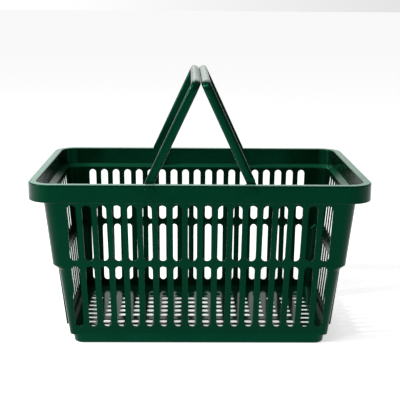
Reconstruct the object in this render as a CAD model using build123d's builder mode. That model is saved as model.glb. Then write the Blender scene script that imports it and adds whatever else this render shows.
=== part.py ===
"""Hand-carried shopping basket: a slotted, tapered plastic tub with two swinging handles.

X runs along the basket, Y across it and Z up. The origin is on the table under the middle of
the outline. Lengths are in millimetres. The tub is a single moulding. It is written as a rim,
four walls and a base that meet face to face, so that each one stays a simple shape.
"""

import os
from math import asin, atan2, cos, degrees, hypot, sin, sqrt

from build123d import *

# Rim: a broad lip with a skirt hanging from it and a narrow ledge inside.
RIM_LENGTH = 453.0
RIM_DEPTH = 308.0
RIM_TOP = 234.0
RIM_CORNER = 33.0
LIP_WIDTH = 11.0
SKIRT_HEIGHT = 24.0
LEDGE_TOP = 206.2
LEDGE_RISE = 3.4
LIP_ROUND = 1.8
SKIRT_ROUND = 0.9

# Shallow moulding seams down the rim's inner face at the back.
SEAM_X = (-177.0, 5.0, 178.0)
SEAM_WIDTH = 0.7
SEAM_DEPTH = 0.35
SEAM_HEIGHT = 19.0

# Tub: outer faces of the front and back walls at the floor, and their lean.
WALL = 1.6
FLOOR_TOP = 15.0
FLOOR_THICKNESS = 2.0
WALL_DRAFT = 0.1265
FLOOR_HALF_DEPTH = 107.5
LEDGE_BOTTOM = LEDGE_TOP - WALL

# Ends of the tub: height, half the outer length and corner radius, with a shoulder half way.
END_LEVELS = (
    (FLOOR_TOP, 179.8, 8.0),
    (109.2, 191.4, 14.0),
    (115.2, 199.8, 15.0),
    (LEDGE_BOTTOM, 208.4, 18.0),
)

# Slotted panel that stands out of each end wall below the shoulder.
PANEL_BOTTOM = (21.6, 185.5)
PANEL_TOP = (111.5, 194.1)
PANEL_SIDE_MARGIN = 20.4

# Half the distance from one end wall to the other where the moulding is divided, and the
# height at which each end wall is divided again, at the top of the shoulder.
SPLIT_AT_FLOOR = 170.9
SPLIT_AT_LEDGE = 182.5
END_SPLIT = END_LEVELS[2][0]

# Slots: the lower and upper ends of the two rows.
SIDE_ROWS = ((25.5, 115.0), (123.3, 202.0))
END_ROWS = ((27.5, 104.5), (117.6, 200.0))
SLOT_BEVEL = 0.5
SHORTEST_SLOT_EDGE = 6.0

# Columns of slots: number, half the span at the lowest and at the highest end, the slots'
# width in the low and in the high row, and how far the middle column is off centre.
FRONT_SLOTS = (18, 165.2, 170.5, 11.2, 11.9, 0.0)
BACK_SLOTS = (19, 161.8, 167.0, 10.0, 10.4, -1.6)
END_SLOTS = (10, 78.6, 92.0, 12.4, 14.2, 0.0)

# Base: a hollow ring under the floor plate.
PLATE_HALF_LENGTH = 179.5
PLATE_HALF_DEPTH = 107.3
PLATE_CORNER = 7.8
FOOT_HALF_LENGTH = 176.2
FOOT_HALF_DEPTH = 106.7
FOOT_CORNER = 14.0
FOOT_TAPER = 2.0
FOOT_WALL = 5.0
FOOT_ROUND = 3.0

# Floor lattice: two groups of hole rows with a solid bar between, and a column at each end.
HOLE_COLUMNS = 14
HOLE_PITCH = (20.3, 18.5)
HOLE_SIZE = (10.0, 14.4)
HOLE_ROUND = 3.5
BACK_ROW_Y = 63.5
ROWS_BEHIND_BAR = 6
ROWS_BEFORE_BAR = 3
FLOOR_BAR = 9.3
END_HOLE_SIZE = (18.5, 11.0)
END_HOLE_X = 156.2
END_HOLE_BACK_Y = 64.5
END_HOLE_PITCH = 17.6
END_HOLE_ROWS = 9

# Handles: bars bent to a U, each swinging on two pivot pins across the rim.
PIVOT_X = 65.7
PIVOT_Z = 223.3
GRIP_X = 6.5
GRIP_Z = 362.4
ARM_OFFSET = 5.4
BAR_WIDTH = 12.0
BAR_THICKNESS = 10.8
BAR_ROUND = 4.4
BAR_BEND = 8.5
EYE_RADIUS = 10.5
BAR_START = 10.0
SHOULDER_END = 17.0
SHOULDER_INSET = 0.6
HANDLE_GAP = 0.7

# Pivot pins and the caps that hold them.
PIN_RADIUS = 4.0
PIN_FIT = 0.03
PIN_CLEARANCE = 0.05
BUTTON_RADIUS = 9.2
BUTTON_HEIGHT = 1.4
BUTTON_ROUND = 0.7
CAP_RADIUS = 6.4
CAP_HEIGHT = 1.6
CAP_ROUND = 0.8
CAP_GAP = 0.4

SKIRT_BOTTOM = RIM_TOP - SKIRT_HEIGHT
MOUTH_HALF_LENGTH = RIM_LENGTH / 2 - LIP_WIDTH
MOUTH_HALF_DEPTH = RIM_DEPTH / 2 - LIP_WIDTH
MOUTH_CORNER = RIM_CORNER - LIP_WIDTH
BAR_Y = MOUTH_HALF_DEPTH - HANDLE_GAP - BAR_THICKNESS / 2
FOOT_INNER_Y = BAR_Y - BAR_THICKNESS / 2 - CAP_GAP


def half_depth(height):
    """Half the tub's outer depth at a height."""
    return FLOOR_HALF_DEPTH + WALL_DRAFT * (height - FLOOR_TOP)


def rounded_block(length, depth, corner, bottom, top):
    """Upright block with rounded corners."""
    with BuildPart() as block:
        with BuildSketch(Plane.XY.offset(bottom)):
            RectangleRounded(length, depth, corner)
        extrude(amount=top - bottom)
    return block.part


def tub_body(inset):
    """The solid inside the tub's wall faces, each moved in by an inset."""
    with BuildPart() as body:
        for height, end, corner in END_LEVELS:
            with BuildSketch(Plane.XY.offset(height)):
                RectangleRounded(2 * (end - inset), 2 * (half_depth(height) - inset), corner - inset)
        loft(ruled=True)
    with BuildPart() as panel:
        for (height, end), rise in ((PANEL_BOTTOM, inset), (PANEL_TOP, 0)):
            side = half_depth(height) - PANEL_SIDE_MARGIN
            with BuildSketch(Plane.XY.offset(height + rise)):
                Rectangle(2 * (end - inset), 2 * (side - inset))
        loft(ruled=True)
    return body.part + panel.part


def slot_rows(rows, count, low_span, high_span, low_width, high_width, shift):
    """Sketch two rows of round-ended slots whose columns close in towards the floor."""
    lowest, highest = rows[0][0], rows[1][1]
    for column in range(count):
        share = 2 * column / (count - 1) - 1
        lean = share * (high_span - low_span) / (highest - lowest)
        for (bottom, top), width in zip(rows, (low_width, high_width)):
            middle = (bottom + top) / 2
            across = share * low_span + lean * (middle - lowest) + shift
            with Locations((across, middle)):
                SlotOverall(top - bottom, width, rotation=90 - degrees(lean))


def slotted_wall():
    """The four walls in one, with their slots cut right through."""
    with BuildPart() as ring:
        add(tub_body(0))
        add(tub_body(WALL), mode=Mode.SUBTRACT)
        with BuildSketch(Plane.XZ):
            slot_rows(SIDE_ROWS, *FRONT_SLOTS)
        extrude(amount=RIM_DEPTH / 2, mode=Mode.SUBTRACT)
        with BuildSketch(Plane.XZ):
            slot_rows(SIDE_ROWS, *BACK_SLOTS)
        extrude(amount=-RIM_DEPTH / 2, mode=Mode.SUBTRACT)
        with BuildSketch(Plane.YZ):
            slot_rows(END_ROWS, *END_SLOTS)
        extrude(amount=RIM_LENGTH / 2, both=True, mode=Mode.SUBTRACT)
    return ring.part


def wall_split(side):
    """Leaning plane between the front and back walls and one end wall."""
    foot = Vector(side * SPLIT_AT_FLOOR, 0, FLOOR_TOP)
    head = Vector(side * SPLIT_AT_LEDGE, 0, LEDGE_BOTTOM)
    normal = (head - foot).cross(Vector(0, 1, 0))
    return Plane(origin=foot, x_dir=(0, 1, 0), z_dir=normal * side)


def outer_slot_edges(wall, outward, rows):
    """The slots' edges on the outer face of a wall whose outward direction is X or Y."""
    edges = []
    for face in wall.faces():
        middle = face.center()
        extent = face.bounding_box()
        cut_straight_through = abs(face.normal_at().dot(outward)) < 0.01
        for bottom, top in rows:
            in_the_row = bottom - 0.1 < extent.min.Z and extent.max.Z < top + 0.1
            if cut_straight_through and in_the_row:
                for edge in face.edges():
                    if edge.length > SHORTEST_SLOT_EDGE and (edge.center() - middle).dot(outward) > 0:
                        edges.append(edge)
    return edges


def wall_panel(ring, outward, rows, kept_sides):
    """One wall cut out of the ring of walls, with its slots bevelled on the outside."""
    with BuildPart() as panel:
        add(ring)
        for plane, keep in kept_sides:
            split(bisect_by=plane, keep=keep)
        chamfer(outer_slot_edges(panel.part, outward, rows), SLOT_BEVEL)
    return panel.part


def pivot_places(y):
    """The four pivots' places on planes at plus and minus y, by name."""
    return {
        "front_left": (-PIVOT_X, -y),
        "front_right": (PIVOT_X, -y),
        "back_left": (-PIVOT_X, y),
        "back_right": (PIVOT_X, y),
    }


def pivot_cylinder(x, start, end, radius, edge_round=0.0):
    """Cylinder along Y at a pivot, from one y to another, with its far edge rounded."""
    way = 1 if end > start else -1
    with BuildPart() as drum:
        with BuildSketch(Plane(origin=(x, start, PIVOT_Z), x_dir=(1, 0, 0), z_dir=(0, way, 0))):
            Circle(radius)
        extrude(amount=abs(end - start))
        if edge_round:
            far_face = drum.faces().sort_by(Axis((0, 0, 0), (0, way, 0)))[-1]
            fillet(far_face.edges(), edge_round)
    return drum.part


def floor_lattice():
    """Sketch the floor's holes: two groups of rows and a column at each end."""
    pitch_x, pitch_y = HOLE_PITCH
    back_group_y = BACK_ROW_Y - (ROWS_BEHIND_BAR - 1) * pitch_y / 2
    first_row_before_bar = BACK_ROW_Y - ROWS_BEHIND_BAR * pitch_y - FLOOR_BAR
    front_group_y = first_row_before_bar - (ROWS_BEFORE_BAR - 1) * pitch_y / 2
    for middle_y, rows in ((back_group_y, ROWS_BEHIND_BAR), (front_group_y, ROWS_BEFORE_BAR)):
        with Locations((0, middle_y)):
            with GridLocations(pitch_x, pitch_y, HOLE_COLUMNS, rows):
                RectangleRounded(*HOLE_SIZE, HOLE_ROUND)
    end_y = END_HOLE_BACK_Y - (END_HOLE_ROWS - 1) * END_HOLE_PITCH / 2
    with Locations((0, end_y)):
        with GridLocations(2 * END_HOLE_X, END_HOLE_PITCH, 2, END_HOLE_ROWS):
            RectangleRounded(*END_HOLE_SIZE, HOLE_ROUND)


def base_block(inset, top):
    """Tapered block with rounded corners that the base ring is made from."""
    with BuildPart() as block:
        for height in (0, top):
            shrink = FOOT_TAPER * (1 - height / FLOOR_TOP)
            length = 2 * (FOOT_HALF_LENGTH - shrink - inset)
            depth = 2 * (FOOT_HALF_DEPTH - shrink / 2 - inset)
            with BuildSketch(Plane.XY.offset(height)):
                RectangleRounded(length, depth, FOOT_CORNER - inset)
        loft(ruled=True)
    return block.part


def handle(side):
    """A handle leaning in over the tub from its pivots, on the left (-1) or the right (1).

    The bars run past the outer side of the pivots, and each eye bulges on the inner side.
    """
    straight = hypot(PIVOT_X - GRIP_X, GRIP_Z - PIVOT_Z)
    reach = sqrt(straight**2 - ARM_OFFSET**2)
    lean = atan2(PIVOT_X - GRIP_X, GRIP_Z - PIVOT_Z) + asin(ARM_OFFSET / straight)
    along_bar = Vector(-side * sin(lean), 0, cos(lean))
    outward = Vector(side * cos(lean), 0, sin(lean))
    start = Vector(side * PIVOT_X, 0, PIVOT_Z) + outward * ARM_OFFSET + along_bar * BAR_START
    bar_plane = Plane(origin=start, x_dir=(0, 1, 0), z_dir=Vector(0, 1, 0).cross(along_bar))
    bar_edge = BAR_WIDTH / 2 - SHOULDER_INSET
    with BuildPart() as bail:
        with BuildLine(bar_plane) as route:
            top = reach - BAR_START
            corners = [(-BAR_Y, 0), (-BAR_Y, top), (BAR_Y, top), (BAR_Y, 0)]
            FilletPolyline(*corners, radius=BAR_BEND)
        with BuildSketch(Plane(origin=route.line @ 0, x_dir=(0, 1, 0), z_dir=along_bar)):
            RectangleRounded(BAR_THICKNESS, BAR_WIDTH, BAR_ROUND)
        sweep()
        for y in (-BAR_Y, BAR_Y):
            foot = (side * PIVOT_X, y, PIVOT_Z)
            with BuildSketch(Plane(origin=foot, x_dir=along_bar, z_dir=(0, 1, 0))):
                Circle(EYE_RADIUS)
                with BuildLine():
                    Polyline(
                        (0, 0),
                        (0, side * EYE_RADIUS),
                        (SHOULDER_END, side * (ARM_OFFSET + bar_edge)),
                        (SHOULDER_END, side * (ARM_OFFSET - bar_edge)),
                        close=True,
                    )
                make_face()
            extrude(amount=BAR_THICKNESS / 2, both=True)
        with BuildSketch(Plane.XZ):
            with Locations((side * PIVOT_X, PIVOT_Z)):
                Circle(PIN_RADIUS + PIN_CLEARANCE)
        extrude(amount=RIM_DEPTH, both=True, mode=Mode.SUBTRACT)
    return bail.part


def pivot_pin(x, way):
    """Pin with a broad button outside the skirt, reaching in past the handle's foot."""
    skin = way * RIM_DEPTH / 2
    with BuildPart() as pin:
        add(pivot_cylinder(x, skin, way * FOOT_INNER_Y, PIN_RADIUS - PIN_FIT))
        add(pivot_cylinder(x, skin, skin + way * BUTTON_HEIGHT, BUTTON_RADIUS, BUTTON_ROUND))
    return pin.part


def pivot_cap(x, way):
    """Low round cap that closes the pin's inner end against the handle's foot."""
    start = way * FOOT_INNER_Y
    return pivot_cylinder(x, start, start - way * CAP_HEIGHT, CAP_RADIUS, CAP_ROUND)


shell = (2 * (MOUTH_HALF_LENGTH + WALL), 2 * (MOUTH_HALF_DEPTH + WALL), MOUTH_CORNER + WALL)
mouth = (2 * MOUTH_HALF_LENGTH, 2 * MOUTH_HALF_DEPTH, MOUTH_CORNER)
_, tub_half_length, tub_corner = END_LEVELS[-1]
tub_outline = (2 * tub_half_length, 2 * half_depth(LEDGE_BOTTOM), tub_corner)
throat = (tub_outline[0] - 2 * WALL, tub_outline[1] - 2 * WALL, tub_corner - WALL)

with BuildPart() as ledge_underside:
    with BuildSketch(Plane.XY.offset(LEDGE_BOTTOM)):
        RectangleRounded(*tub_outline)
    with BuildSketch(Plane.XY.offset(LEDGE_BOTTOM + LEDGE_RISE)):
        RectangleRounded(*shell)
    loft(ruled=True)

with BuildPart() as ledge_slope:
    with BuildSketch(Plane.XY.offset(LEDGE_TOP)):
        RectangleRounded(*throat)
    with BuildSketch(Plane.XY.offset(LEDGE_TOP + LEDGE_RISE)):
        RectangleRounded(*mouth)
    loft(ruled=True)

with BuildPart() as tub_rim:
    add(rounded_block(RIM_LENGTH, RIM_DEPTH, RIM_CORNER, SKIRT_BOTTOM, RIM_TOP))
    add(rounded_block(*shell, LEDGE_BOTTOM + LEDGE_RISE, SKIRT_BOTTOM))
    add(ledge_underside.part)
    with BuildSketch(Plane.XY.offset(SKIRT_BOTTOM)):
        RectangleRounded(RIM_LENGTH - 2 * WALL, RIM_DEPTH - 2 * WALL, RIM_CORNER - WALL)
        RectangleRounded(*shell, mode=Mode.SUBTRACT)
    extrude(amount=SKIRT_HEIGHT - WALL, mode=Mode.SUBTRACT)
    add(ledge_slope.part, mode=Mode.SUBTRACT)
    with BuildSketch(Plane.XY.offset(LEDGE_TOP + LEDGE_RISE)):
        RectangleRounded(*mouth)
    extrude(amount=RIM_TOP - LEDGE_TOP, mode=Mode.SUBTRACT)
    with BuildSketch(Plane.XY.offset(LEDGE_BOTTOM)):
        RectangleRounded(*throat)
    extrude(amount=WALL, mode=Mode.SUBTRACT)
    lip_top = tub_rim.faces().sort_by(Axis.Z)[-1]
    fillet(lip_top.edges(), LIP_ROUND)
    skirt_foot = tub_rim.faces().filter_by_position(Axis.Z, SKIRT_BOTTOM - 0.1, SKIRT_BOTTOM + 0.1)[0]
    fillet(skirt_foot.outer_wire().edges(), SKIRT_ROUND)
    for x, y in pivot_places(RIM_DEPTH).values():
        add(pivot_cylinder(x, 0, y, PIN_RADIUS), mode=Mode.SUBTRACT)
    for x in SEAM_X:
        with Locations((x, MOUTH_HALF_DEPTH, (LEDGE_TOP + RIM_TOP) / 2)):
            Box(SEAM_WIDTH, 2 * SEAM_DEPTH, SEAM_HEIGHT, mode=Mode.SUBTRACT)

with BuildPart() as tub_base:
    add(base_block(0, FLOOR_TOP - FLOOR_THICKNESS))
    fillet(tub_base.faces().sort_by(Axis.Z)[0].edges(), FOOT_ROUND)
    add(base_block(FOOT_WALL, FLOOR_TOP - FLOOR_THICKNESS), mode=Mode.SUBTRACT)
    with BuildSketch(Plane.XY.offset(FLOOR_TOP)):
        RectangleRounded(2 * PLATE_HALF_LENGTH, 2 * PLATE_HALF_DEPTH, PLATE_CORNER)
    extrude(amount=-FLOOR_THICKNESS)
    with BuildSketch(Plane.XY.offset(FLOOR_TOP)):
        floor_lattice()
    extrude(amount=-2 * FLOOR_THICKNESS, mode=Mode.SUBTRACT)

walls = slotted_wall()
left_plane = wall_split(-1)
right_plane = wall_split(1)
between_ends = [(left_plane, Keep.TOP), (right_plane, Keep.TOP)]
front_side = between_ends + [(Plane.XZ, Keep.TOP)]
back_side = between_ends + [(Plane.XZ, Keep.BOTTOM)]
end_plane = Plane.XY.offset(END_SPLIT)

pieces = {
    "tub_rim": tub_rim.part,
    "tub_base": tub_base.part,
    "tub_front_wall": wall_panel(walls, Vector(0, -1, 0), SIDE_ROWS, front_side),
    "tub_back_wall": wall_panel(walls, Vector(0, 1, 0), SIDE_ROWS, back_side),
    "left_handle": handle(-1),
    "right_handle": handle(1),
}
for name, plane, outward in (("left", left_plane, Vector(-1, 0, 0)), ("right", right_plane, Vector(1, 0, 0))):
    for level, keep in (("low", Keep.BOTTOM), ("high", Keep.TOP)):
        end_sides = [(plane, Keep.BOTTOM), (end_plane, keep)]
        pieces["tub_%s_end_%s" % (name, level)] = wall_panel(walls, outward, END_ROWS, end_sides)
for name, (x, way) in pivot_places(1).items():
    pieces[name + "_pin"] = pivot_pin(x, way)
    pieces[name + "_cap"] = pivot_cap(x, way)

os.makedirs("parts", exist_ok=True)
for name, shape in pieces.items():
    shape.label = name
    export_step(shape, "parts/%s.step" % name)
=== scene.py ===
"""Looks of the shopping basket: materials, pale floor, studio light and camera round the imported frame."""
from math import radians

import bpy
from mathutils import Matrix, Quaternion, Vector


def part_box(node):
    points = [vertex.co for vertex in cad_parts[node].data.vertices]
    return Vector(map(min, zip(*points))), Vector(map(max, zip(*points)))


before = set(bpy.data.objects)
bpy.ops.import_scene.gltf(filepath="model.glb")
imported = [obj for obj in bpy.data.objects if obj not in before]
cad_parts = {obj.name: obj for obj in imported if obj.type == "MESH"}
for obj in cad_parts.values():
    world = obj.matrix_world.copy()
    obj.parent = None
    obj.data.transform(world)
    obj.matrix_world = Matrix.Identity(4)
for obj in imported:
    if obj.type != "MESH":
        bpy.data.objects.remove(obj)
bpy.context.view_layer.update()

# Colours are linear RGB, chosen against the photograph.
WHITE = (1.0, 1.0, 1.0, 1.0)
TUB_GREEN = (0.0003, 0.0080, 0.0030)
FLOOR_GREEN = (0.0006, 0.0180, 0.0085)
HANDLE_GREEN = (0.0005, 0.0150, 0.0070)
# Painted light: a lighter green for the up-facing faces of the rim and handles.
UPLIT_GREEN = (0.006, 0.075, 0.036)
# Painted sheen, speckled like wear, for the tops of the rim lip and of the grips.
WORN_SHEEN_GREEN = (0.18, 0.38, 0.28)
GRIP_SHEEN_GREEN = (0.42, 0.52, 0.46)
REFLECTION_TINT = (0.03, 1.0, 0.50)
PLASTIC_IOR = 1.34

# Roughness of each moulding.
TUB_ROUGHNESS = 0.20
BASE_ROUGHNESS = 0.12
PIN_ROUGHNESS = 0.25
HANDLE_ROUGHNESS = 0.22

# How fine each pattern in the plastic and the floor is, as noise scales, and the depth of its relief.
MM = 0.001
MOTTLE_SCALE = 14.0
SMEAR_SCALE = 60.0
RIPPLE_SCALE = 45.0
SPECKLE_SCALE = 420.0
GRAIN_SCALE = 900.0
PAPER_SCALE = 30.0
RIPPLE_DEPTH = 0.15 * MM
RIPPLE_STRENGTH = 0.2
GRAIN_DEPTH = 0.08 * MM

# How far below the highest point the painted sheen and its worn speckle reach, and the height over which
# they fade in.
RIM_SHEEN_DEPTH = 3 * MM
GRIP_SHEEN_DEPTH = 8 * MM
SHEEN_FADE = 2 * MM

# Studio: floor, how bright the surroundings are low in front, behind and overhead, and the
# share of that brightness that the right side has.
FLOOR_WHITE = (0.92, 0.92, 0.92)
FLOOR_GLOW = 0.56
FLOOR_SIZE = 80.0
FRONT_GLOW = 0.15
BACK_GLOW = 1.1
OVERHEAD_GLOW = 0.5
RIGHT_SHARE = 0.45

# Lights: place, the point each one faces, size and power.
KEY_LIGHT = ((-1.9, -0.5, 1.3), (0, 0, 0.1), (0.25, 0.25), 34.0)
SOFTBOX = ((-0.9, -0.9, 1.5), (0, 0, 0.25), (0.9, 0.5), 12.0)

# Camera: place, the direction it looks in, its roll and its lens.
CAMERA_PLACE = (-0.0163, -1.2830, 0.4665)
CAMERA_AZIMUTH = 0.0139
CAMERA_PITCH = 0.219
CAMERA_ROLL = 0.007
CAMERA_LENS = 80.7
SENSOR_WIDTH = 36.0


def value_node(tree, kind, **settings):
    """A shader node with some of its properties set."""
    node = tree.nodes.new(kind)
    for name, value in settings.items():
        setattr(node, name, value)
    return node


def noise(tree, place, scale, detail=2.0):
    """Noise in object coordinates, as a node whose output runs from 0 to 1."""
    node = value_node(tree, "ShaderNodeTexNoise")
    node.inputs["Scale"].default_value = scale
    node.inputs["Detail"].default_value = detail
    tree.links.new(place, node.inputs["Vector"])
    return node.outputs["Fac"]


def remap(tree, source, low, high, to_low, to_high):
    """A value mapped from one range to another and held inside it."""
    node = value_node(tree, "ShaderNodeMapRange")
    for name, value in (("From Min", low), ("From Max", high), ("To Min", to_low), ("To Max", to_high)):
        node.inputs[name].default_value = value
    tree.links.new(source, node.inputs["Value"])
    return node.outputs["Result"]


def mix_colour(tree, share, first, second):
    """A colour between two others, each given as a colour or as a socket."""
    node = value_node(tree, "ShaderNodeMix", data_type="RGBA")
    tree.links.new(share, node.inputs["Factor"])
    for socket, colour in ((node.inputs[6], first), (node.inputs[7], second)):
        if isinstance(colour, tuple):
            socket.default_value = (*colour, 1.0)
        else:
            tree.links.new(colour, socket)
    return node.outputs[2]


def multiply(tree, first, second):
    """The product of two values."""
    node = value_node(tree, "ShaderNodeMath", operation="MULTIPLY")
    tree.links.new(first, node.inputs[0])
    tree.links.new(second, node.inputs[1])
    return node.outputs["Value"]


def relief(tree, height, depth):
    """A bump node for a pattern, whose strength and normal are set by the caller."""
    node = value_node(tree, "ShaderNodeBump")
    node.inputs["Distance"].default_value = depth
    tree.links.new(height, node.inputs["Height"])
    return node


def split_axes(tree, vector):
    """The X, Y and Z of a vector."""
    node = value_node(tree, "ShaderNodeSeparateXYZ")
    tree.links.new(vector, node.inputs["Vector"])
    return node.outputs


def add_top_light_and_sheen(tree, shader, place, shade, ripple, worn_sheen, sheen_above):
    """Painted light on faces that look up, and above a height a painted sheen with a worn, grainy speckle.
    """
    normal = value_node(tree, "ShaderNodeNewGeometry").outputs["Normal"]
    looks_up = remap(tree, split_axes(tree, normal)["Z"], 0.75, 0.97, 0.0, 1.0)
    height = split_axes(tree, place)["Z"]
    is_high = remap(tree, height, sheen_above, sheen_above + SHEEN_FADE, 0.0, 1.0)
    sheen_mask = multiply(tree, looks_up, is_high)
    speckle = remap(tree, noise(tree, place, SPECKLE_SCALE, 3.0), 0.35, 0.6, 0.55, 1.0)
    # Painted light: faces that look up are mixed towards the lighter green.
    uplit_shade = mix_colour(tree, looks_up, shade, UPLIT_GREEN)
    grain = relief(tree, noise(tree, place, GRAIN_SCALE), GRAIN_DEPTH)
    tree.links.new(sheen_mask, grain.inputs["Strength"])
    tree.links.new(ripple.outputs["Normal"], grain.inputs["Normal"])
    tree.links.new(grain.outputs["Normal"], shader.inputs["Normal"])
    # Painted sheen: the highest up-facing faces take the sheen colour, speckled like wear.
    return mix_colour(tree, multiply(tree, sheen_mask, speckle), uplit_shade, worn_sheen)


def moulded_plastic(name, colour, roughness, worn_sheen=None, sheen_above=0.0):
    """Glossy moulded plastic with slight mottling and ripples, and with painted top light and a speckled
    painted sheen if a sheen colour is given.
    """
    material = bpy.data.materials.new(name)
    material.use_nodes = True
    tree = material.node_tree
    shader = tree.nodes["Principled BSDF"]
    shader.inputs["IOR"].default_value = PLASTIC_IOR
    shader.inputs["Specular Tint"].default_value = (*REFLECTION_TINT, 1.0)
    place = value_node(tree, "ShaderNodeTexCoord").outputs["Object"]

    mottle = remap(tree, noise(tree, place, MOTTLE_SCALE, 3.0), 0.35, 0.65, 0.0, 1.0)
    dark = tuple(0.8 * c for c in colour)
    bright = tuple(1.2 * c for c in colour)
    shade = mix_colour(tree, mottle, dark, bright)
    smear = noise(tree, place, SMEAR_SCALE, 4.0)
    gloss = remap(tree, smear, 0.3, 0.7, 0.8 * roughness, 1.25 * roughness)
    tree.links.new(gloss, shader.inputs["Roughness"])

    ripple = relief(tree, noise(tree, place, RIPPLE_SCALE, 1.0), RIPPLE_DEPTH)
    ripple.inputs["Strength"].default_value = RIPPLE_STRENGTH
    tree.links.new(ripple.outputs["Normal"], shader.inputs["Normal"])
    if worn_sheen:
        shade = add_top_light_and_sheen(tree, shader, place, shade, ripple, worn_sheen, sheen_above)
    tree.links.new(shade, shader.inputs["Base Color"])
    return material


def paint(names, material):
    """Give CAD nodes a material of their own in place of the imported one."""
    for name in names:
        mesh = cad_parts[name].data
        mesh.materials.clear()
        mesh.materials.append(material)


rim_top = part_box("tub_rim")[1][2]
grip_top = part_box("left_handle")[1][2]
pins = [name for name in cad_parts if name.endswith(("_pin", "_cap"))]
walls = [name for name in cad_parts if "_wall" in name or "_end_" in name]
paint(walls, moulded_plastic("wall_plastic", TUB_GREEN, TUB_ROUGHNESS))
paint(["tub_base"], moulded_plastic("base_plastic", FLOOR_GREEN, BASE_ROUGHNESS))
# The rim and handles get painted top light, and a painted sheen on their highest faces.
rim_look = moulded_plastic("rim_plastic", TUB_GREEN, TUB_ROUGHNESS, WORN_SHEEN_GREEN, rim_top - RIM_SHEEN_DEPTH)
paint(["tub_rim"], rim_look)
paint(pins, moulded_plastic("pin_plastic", TUB_GREEN, PIN_ROUGHNESS))
handle_sheen = (GRIP_SHEEN_GREEN, grip_top - GRIP_SHEEN_DEPTH)
handle_look = moulded_plastic("handle_plastic", HANDLE_GREEN, HANDLE_ROUGHNESS, *handle_sheen)
paint(["left_handle", "right_handle"], handle_look)


def pale_floor():
    """A very wide white floor with a faint unevenness, which also serves as the backdrop."""
    bpy.ops.mesh.primitive_grid_add(size=FLOOR_SIZE, x_subdivisions=8, y_subdivisions=8)
    floor = bpy.context.object
    floor.name = "floor"
    material = bpy.data.materials.new("floor_paper")
    material.use_nodes = True
    tree = material.node_tree
    shader = tree.nodes["Principled BSDF"]
    place = value_node(tree, "ShaderNodeTexCoord").outputs["Object"]
    paper = remap(tree, noise(tree, place, PAPER_SCALE), 0.3, 0.7, 0.0, 1.0)
    shade = mix_colour(tree, paper, tuple(0.98 * c for c in FLOOR_WHITE), FLOOR_WHITE)
    tree.links.new(shade, shader.inputs["Base Color"])
    shader.inputs["Roughness"].default_value = 0.9
    shader.inputs["Specular IOR Level"].default_value = 0.0
    shader.inputs["Emission Color"].default_value = WHITE
    shader.inputs["Emission Strength"].default_value = FLOOR_GLOW
    floor.data.materials.append(material)


def soft_light(name, place, aim, size, power):
    """A rectangular area light that the camera doesn't see."""
    data = bpy.data.lights.new(name, "AREA")
    data.shape = "RECTANGLE"
    data.size, data.size_y = size
    data.energy = power
    light = bpy.data.objects.new(name, data)
    bpy.context.scene.collection.objects.link(light)
    light.location = place
    light.rotation_euler = (Vector(aim) - Vector(place)).to_track_quat("-Z", "Y").to_euler()
    light.visible_camera = False


def studio():
    """Surroundings dim in front and on the right, with a key light and a softbox on the left."""
    world = bpy.data.worlds.new("studio")
    bpy.context.scene.world = world
    world.use_nodes = True
    tree = world.node_tree
    direction = split_axes(tree, value_node(tree, "ShaderNodeTexCoord").outputs["Generated"])
    level = remap(tree, direction["Y"], -0.5, 0.7, FRONT_GLOW, BACK_GLOW)
    overhead = remap(tree, direction["Z"], 0.3, 0.9, 0.0, 1.0)
    blend = value_node(tree, "ShaderNodeMix", data_type="FLOAT")
    tree.links.new(overhead, blend.inputs["Factor"])
    tree.links.new(level, blend.inputs["A"])
    blend.inputs["B"].default_value = OVERHEAD_GLOW
    side = remap(tree, direction["X"], -0.3, 0.7, 1.0, RIGHT_SHARE)
    strength = multiply(tree, blend.outputs["Result"], side)
    tree.links.new(strength, tree.nodes["Background"].inputs["Strength"])
    tree.nodes["Background"].inputs["Color"].default_value = WHITE
    soft_light("key", *KEY_LIGHT)
    soft_light("softbox", *SOFTBOX)


def add_camera():
    """The camera, with its place, turn and lens fitted to the photograph."""
    data = bpy.data.cameras.new("camera")
    data.lens = CAMERA_LENS
    data.sensor_width = SENSOR_WIDTH
    camera = bpy.data.objects.new("camera", data)
    bpy.context.scene.collection.objects.link(camera)
    camera.location = CAMERA_PLACE
    level = Quaternion((1, 0, 0), radians(90) - CAMERA_PITCH)
    turn = Quaternion((0, 0, 1), -CAMERA_AZIMUTH)
    roll = Quaternion((0, 0, 1), CAMERA_ROLL)
    camera.rotation_mode = "QUATERNION"
    camera.rotation_quaternion = turn @ level @ roll
    bpy.context.scene.camera = camera


pale_floor()
studio()
add_camera()
bpy.context.scene.view_settings.view_transform = "Standard"

bpy.context.view_layer.update()
